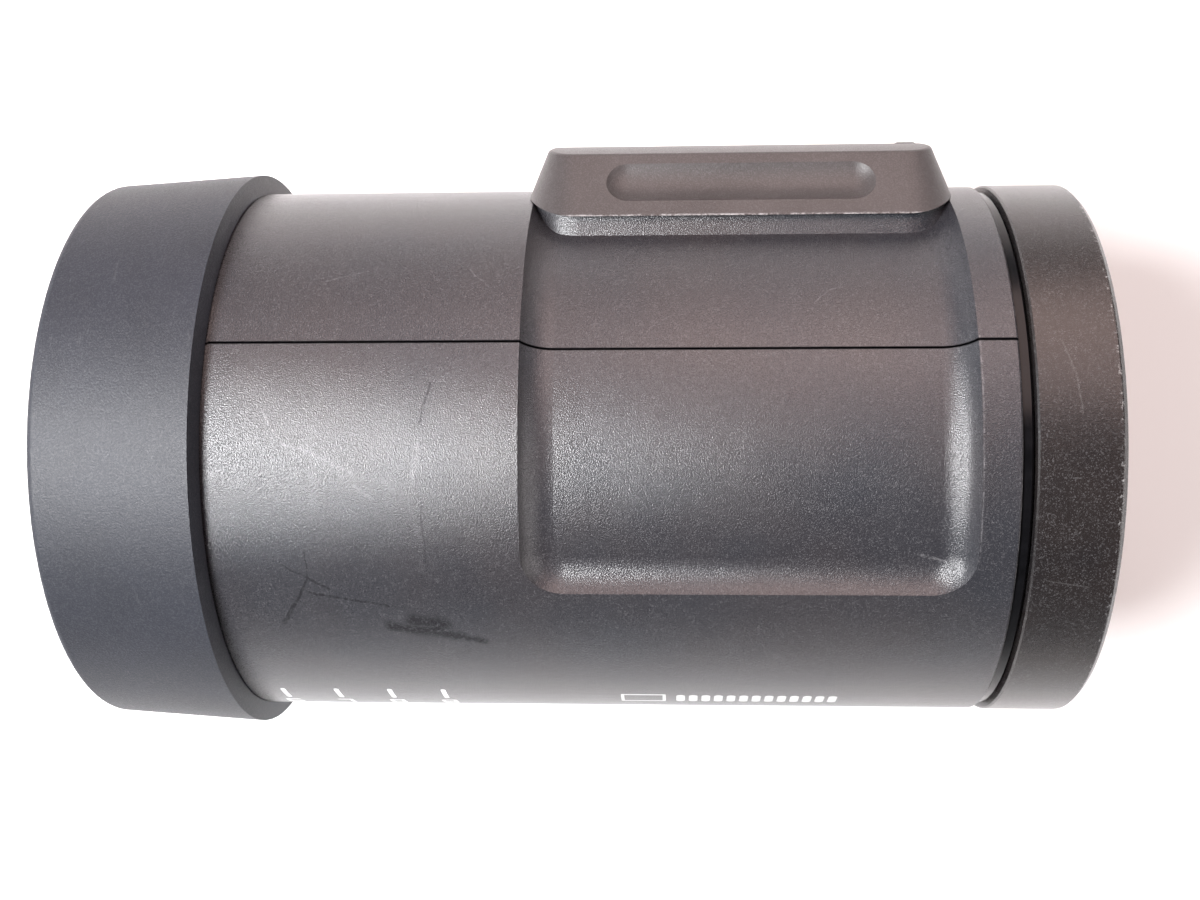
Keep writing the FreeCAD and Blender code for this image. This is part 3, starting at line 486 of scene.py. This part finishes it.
def screen(name):
    """Dark glass over a display that shows plain bars, a battery outline and a figure."""
    p = Paint(name)
    uneven = p.noise(6 * MM, 2.0)
    where = rear_face(p, 0.0, (WINDOW_LOW.z + WINDOW_HIGH.z) / 2 / MM - AXIS_Z / MM)
    seven = [(-14.5, 5.5), (-9.5, 5.5), (-9.5, -5.5)]
    nought = [(-4.0, 5.5), (1.0, 5.5), (1.0, -5.5), (-4.0, -5.5), (-4.0, 5.5)]
    point = [(-6.8, -5.5), (-6.7, -5.5)]
    figures = icon_strokes(p, where, runs(seven) + runs(nought) + runs(point), 0.62)
    battery = [(9.0, 7.0), (15.0, 7.0), (15.0, 4.4), (9.0, 4.4), (9.0, 7.0)]
    charge = [((x, 6.2), (x, 5.2)) for x in (15.7, 10.6, 12.2)]
    bars = [((6.5 + 1.7 * i, -5.6), (6.5 + 1.7 * i, -4.6 + 0.9 * i)) for i in range(6)]
    small = icon_strokes(p, where, runs(battery) + charge + bars, 0.26)
    lit = p.most(figures, small)
    p.bsdf.inputs["Emission Color"].default_value = (0.75, 0.85, 0.92, 1.0)
    color = p.mix(lit, (0.006, 0.008, 0.009), (0.30, 0.36, 0.40))
    return p.finish(color, p.ramp(uneven, 0.3, 0.7, 0.04, 0.08), **{"Emission Strength": p.times(lit, 0.5)})


def knob_metal(name):
    """Turned black aluminium: fine rings round the knob's own axis and one pale index mark."""
    p = Paint(name)
    where = rear_face(p, 0.0, (DIAL_CENTRE_Z - AXIS_Z) / MM)
    reach = p.vector("LENGTH", where)
    rings = p.noise(0.12 * MM, 2.0, where=p.join(reach, 0.0, 0.0))
    index = p.stroke(where, (0, 10.6 * MM), (0, 13.0 * MM), 0.35 * MM, 0.8)
    color = p.mix(p.ramp(rings, 0.3, 0.7), (0.045, 0.045, 0.05), (0.065, 0.065, 0.07))
    color = p.mix(index, color, (0.8, 0.8, 0.8))
    bare = p.math("SUBTRACT", 0.85, p.times(index, 0.85))
    return p.finish(color, p.ramp(rings, 0.3, 0.7, 0.26, 0.40), p.bump(rings, 0.012 * MM, 0.4), Metallic=bare)


def circuit(name):
    """Green board whose copper tracks show through its lacquer."""
    p = Paint(name)
    track = p.cells(1.6 * MM, "DISTANCE_TO_EDGE")
    copper = p.ramp(track, 0.06, 0.1, 1.0, 0.0)
    color = p.mix(p.times(copper, 0.5), (0.012, 0.09, 0.04), (0.05, 0.24, 0.10))
    return p.finish(color, p.ramp(p.noise(0.5 * MM), 0.3, 0.7, 0.3, 0.42), p.bump(copper, 0.03 * MM, 0.5))


# The record's material slots, each with the function that makes its material.
MATERIALS = {
    "housing_paint": lambda n: metallic_paint(
        n, (0.018, 0.019, 0.024), (0.023, 0.021, 0.024), marks=body_marks),
    "rear_paint": lambda n: metallic_paint(
        n, (0.010, 0.009, 0.010), (0.016, 0.012, 0.011), 0.20, (0.23, 0.32), 0.030, ring_marks, 0.55),
    "battery_paint": lambda n: moulded(
        n, (0.041, 0.035, 0.035), 0.30, (0.38, 0.50), 0.08, 0.9, case_wear, 0.09),
    "cap_plastic": lambda n: moulded(
        n, (0.014, 0.016, 0.023), 0.34, (0.48, 0.60), 0.08, 0.9, cap_wear, 0.08, 0.46),
    "bezel_plastic": lambda n: moulded(n, (0.020, 0.020, 0.022), 0.4),
    "gloss_ring": gloss_black,
    "black_steel": lambda n: metal(n, (0.05, 0.05, 0.055), (0.3, 0.45)),
    "frosted_glass": lambda n: glassy(n, (0.93, 0.95, 0.94), 0.35),
    "silicone": lambda n: moulded(n, (0.60, 0.59, 0.55), 0.6, (0.5, 0.7)),
    "polished_aluminium": lambda n: metal(n, (0.82, 0.83, 0.85), (0.12, 0.2), 2.0),
    "quartz_glass": lambda n: glassy(n, (0.98, 0.98, 0.96), 0.02),
    "nickel": lambda n: metal(n, (0.62, 0.60, 0.56)),
    "ceramic": lambda n: moulded(n, (0.80, 0.79, 0.76), 0.5, (0.2, 0.35), 0.01),
    "steel": lambda n: metal(n, (0.55, 0.56, 0.58)),
    "led_dome": lambda n: glassy(n, (0.98, 0.86, 0.42), 0.08, 0.6, 1.41),
    "anodised_aluminium": lambda n: metal(n, (0.06, 0.06, 0.065), (0.35, 0.5)),
    "sheet_aluminium": lambda n: metal(n, (0.66, 0.67, 0.68), (0.3, 0.42), 0.3, (0.08, 1, 1)),
    "stand_metal": lambda n: metallic_paint(n, (0.030, 0.030, 0.033), (0.036, 0.036, 0.038), 0.3),
    "brass": lambda n: metal(n, (0.70, 0.54, 0.26), (0.22, 0.34)),
    "fan_plastic": lambda n: moulded(n, (0.018, 0.018, 0.020), 0.4, (0.35, 0.5)),
    "capacitor_sleeve": lambda n: moulded(n, (0.020, 0.026, 0.050), 2.0, (0.2, 0.3), 0.02),
    "circuit_board": circuit,
    "ferrite": lambda n: moulded(n, (0.045, 0.045, 0.05), 0.3, (0.5, 0.65)),
    "copper": lambda n: metal(n, (0.60, 0.28, 0.12), (0.2, 0.34), 0.5, (4, 1, 4)),
    "epoxy": lambda n: moulded(n, (0.020, 0.020, 0.022), 0.3, (0.4, 0.55)),
    "display_face": lambda n: moulded(n, (0.010, 0.013, 0.014), 1.0, (0.15, 0.25), 0.005),
    "button_rubber": lambda n: moulded(n, (0.045, 0.045, 0.048), 0.3, (0.55, 0.7)),
    "panel_plastic": panel_face,
    "window_glass": screen,
    "dial_metal": knob_metal,
    "cell_sleeve": lambda n: moulded(n, (0.06, 0.16, 0.36), 1.0, (0.2, 0.3), 0.01),
    "gauge_lens": lambda n: moulded(n, (0.20, 0.42, 0.22), 0.5, (0.2, 0.3), 0.005),
    "latch_plastic": lambda n: moulded(n, (0.025, 0.025, 0.027), 0.3, (0.4, 0.55)),
}


def dress_nodes():
    """Gives every CAD node its slot's material, and returns the materials by slot."""
    made = {slot: build(slot) for slot, build in MATERIALS.items()}
    slots = {s["node"]: s["material_slot"] for s in frame["record"]["subparts"]}
    for name, node in NODES.items():
        node.data.materials.clear()
        node.data.materials.append(made[slots[name]])
    icons = {"test_button": bolt_icon, "model_button": sun_icon, "settings_button": menu_icon}
    for node, icon in icons.items():
        NODES[node].data.materials[0] = key_top("button_" + node.split("_")[0], node, icon)
    return made


# ---- the latch's coil spring --------------------------------------------------------------
WIRE_R = 0.22 * MM
COIL_TURNS = 6


def coil_rise(turn, closed):
    """Share of the spring's length reached after so many turns. Its first and last turns are closed."""
    if turn < 1:
        return closed * turn
    if turn > COIL_TURNS - 1:
        return 1 - closed * (COIL_TURNS - turn)
    return closed + (1 - 2 * closed) * (turn - 1) / (COIL_TURNS - 2)


def latch_coil(steel):
    """The coil in the place of latch_spring: its mesh, which rides with the battery."""
    low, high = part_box("latch_spring")
    middle = (low + high) / 2
    coil_r = (high.z - low.z) / 2 - WIRE_R
    start, length = low.x + WIRE_R, high.x - low.x - 2 * WIRE_R
    closed = 2.3 * WIRE_R / length
    steps, sides = 28, 12
    round_wire = [2 * math.pi * j / sides for j in range(sides)]
    mesh = bmesh.new()
    rings = []
    for i in range(COIL_TURNS * steps + 1):
        angle = 2 * math.pi * i / steps
        outward = Vector((0, math.cos(angle), math.sin(angle)))
        on_axis = Vector((start + length * coil_rise(i / steps, closed), middle.y, middle.z))
        centre = on_axis + coil_r * outward
        rings.append([mesh.verts.new(centre + WIRE_R * (outward * math.cos(b) + Vector((math.sin(b), 0, 0))))
                      for b in round_wire])
    for one, two in zip(rings, rings[1:]):
        for j in range(sides):
            k = (j + 1) % sides
            mesh.faces.new((one[j], one[k], two[k], two[j])).smooth = True
    mesh.faces.new(rings[0])
    mesh.faces.new(rings[-1])
    bmesh.ops.recalc_face_normals(mesh, faces=mesh.faces)
    data = bpy.data.meshes.new("latch_coil")
    mesh.to_mesh(data)
    mesh.free()
    coil = bpy.data.objects.new("latch_coil", data)
    bpy.context.scene.collection.objects.link(coil)
    data.materials.append(steel)
    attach(coil, "battery")
    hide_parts("latch_spring")
    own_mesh(coil)


# ---- stage --------------------------------------------------------------------------------
FLOOR_SIZE = 12.0


def white_floor():
    """White floor, painted a little cooler past the rear end to offset the warm cast of the shade there.

    Far out it glows as softly as the backdrop, so that the two meet without a dark band.
    """
    p = Paint("floor_white")
    tint = p.mix(p.ramp(p.noise(0.25), 0.35, 0.65), (0.90, 0.905, 0.91), (0.915, 0.90, 0.895))
    # Painted cool light: past the rear end the floor is tinted cooler to offset the warm cast of the shade
    # there.
    tint = p.mix(p.ramp(p.split()[0], 0.02, 0.15, smooth=True), tint, (0.93, 0.95, 0.96))
    glow = p.ramp(p.vector("LENGTH", p.place), 0.45, 1.8, 0.0, 0.40, smooth=True)
    p.bsdf.inputs["Emission Color"].default_value = (0.98, 0.98, 1.0, 1.0)
    bpy.ops.mesh.primitive_plane_add(size=FLOOR_SIZE, location=(0, 0, FLOOR_Z))
    floor = bpy.context.object
    floor.name = "floor"
    floor.data.materials.append(p.finish(tint, 0.6, **{"Emission Strength": glow}))


def soft_light(name, place, aim, size, power, color):
    """Rectangular lamp at place that faces aim. size is in metres and power in watts."""
    data = bpy.data.lights.new(name, "AREA")
    data.shape = "RECTANGLE"
    data.size, data.size_y = size
    data.energy = power
    data.color = color
    lamp = bpy.data.objects.new(name, data)
    lamp.location = place
    lamp.rotation_mode = "QUATERNION"
    lamp.rotation_quaternion = (Vector(aim) - Vector(place)).to_track_quat("-Z", "Y")
    bpy.context.scene.collection.objects.link(lamp)


def studio():
    """Four soft lamps, and a backdrop that is pale near the horizon and dark overhead."""
    centre = (0, 0, AXIS_Z)
    soft_light("key", (-0.39, -0.03, 0.67), centre, (0.40, 0.17), 12.8, (0.985, 0.988, 1.0))
    soft_light("warm_side", (0.12, 0.62, 0.70), centre, (0.75, 0.90), 8.0, (1.0, 0.75, 0.70))
    soft_light("lamp_end", (-1.0, 0.10, 0.40), centre, (0.5, 0.5), 2.0, (0.97, 0.98, 1.0))
    soft_light("rear_fill", (0.60, -0.15, 0.32), (0.14, 0, FLOOR_Z), (0.3, 0.3), 1.6, (1.0, 0.96, 0.95))
    world = bpy.data.worlds.new("studio")
    world.use_nodes = True
    tree, sky = world.node_tree, world.node_tree.nodes["Background"]
    sky.inputs["Color"].default_value = (0.98, 0.98, 1.0, 1.0)
    split = tree.nodes.new("ShaderNodeSeparateXYZ")
    walls = tree.nodes.new("ShaderNodeMapRange")
    tree.links.new(tree.nodes.new("ShaderNodeTexCoord").outputs["Generated"], split.inputs[0])
    tree.links.new(split.outputs["Z"], walls.inputs["Value"])
    for name, value in (("From Min", 0.10), ("From Max", 0.45), ("To Min", 0.46), ("To Max", 0.07)):
        walls.inputs[name].default_value = value
    tree.links.new(walls.outputs["Result"], sky.inputs["Strength"])
    bpy.context.scene.world = world
    bpy.context.scene.view_settings.view_transform = "Standard"
    bpy.context.scene.view_settings.look = "None"


def photo_camera():
    """Straight down on the strobe, a little towards its lamp end, tilted by under 3 degrees."""
    data = bpy.data.cameras.new("camera")
    data.sensor_width = 36.0
    data.lens = 41.66
    camera = bpy.data.objects.new("camera", data)
    turn = (Matrix.Rotation(0.000875, 3, "Z") @ Matrix.Rotation(-0.050672, 3, "Y")
            @ Matrix.Rotation(0.011268, 3, "X"))
    place = Vector((-12.524, 2.622, 321.956)) * MM
    camera.matrix_world = Matrix.Translation(place) @ turn.transposed().to_4x4()
    bpy.context.scene.collection.objects.link(camera)
    bpy.context.scene.camera = camera


photo_camera()
latch_coil(dress_nodes()["steel"])
white_floor()
studio()
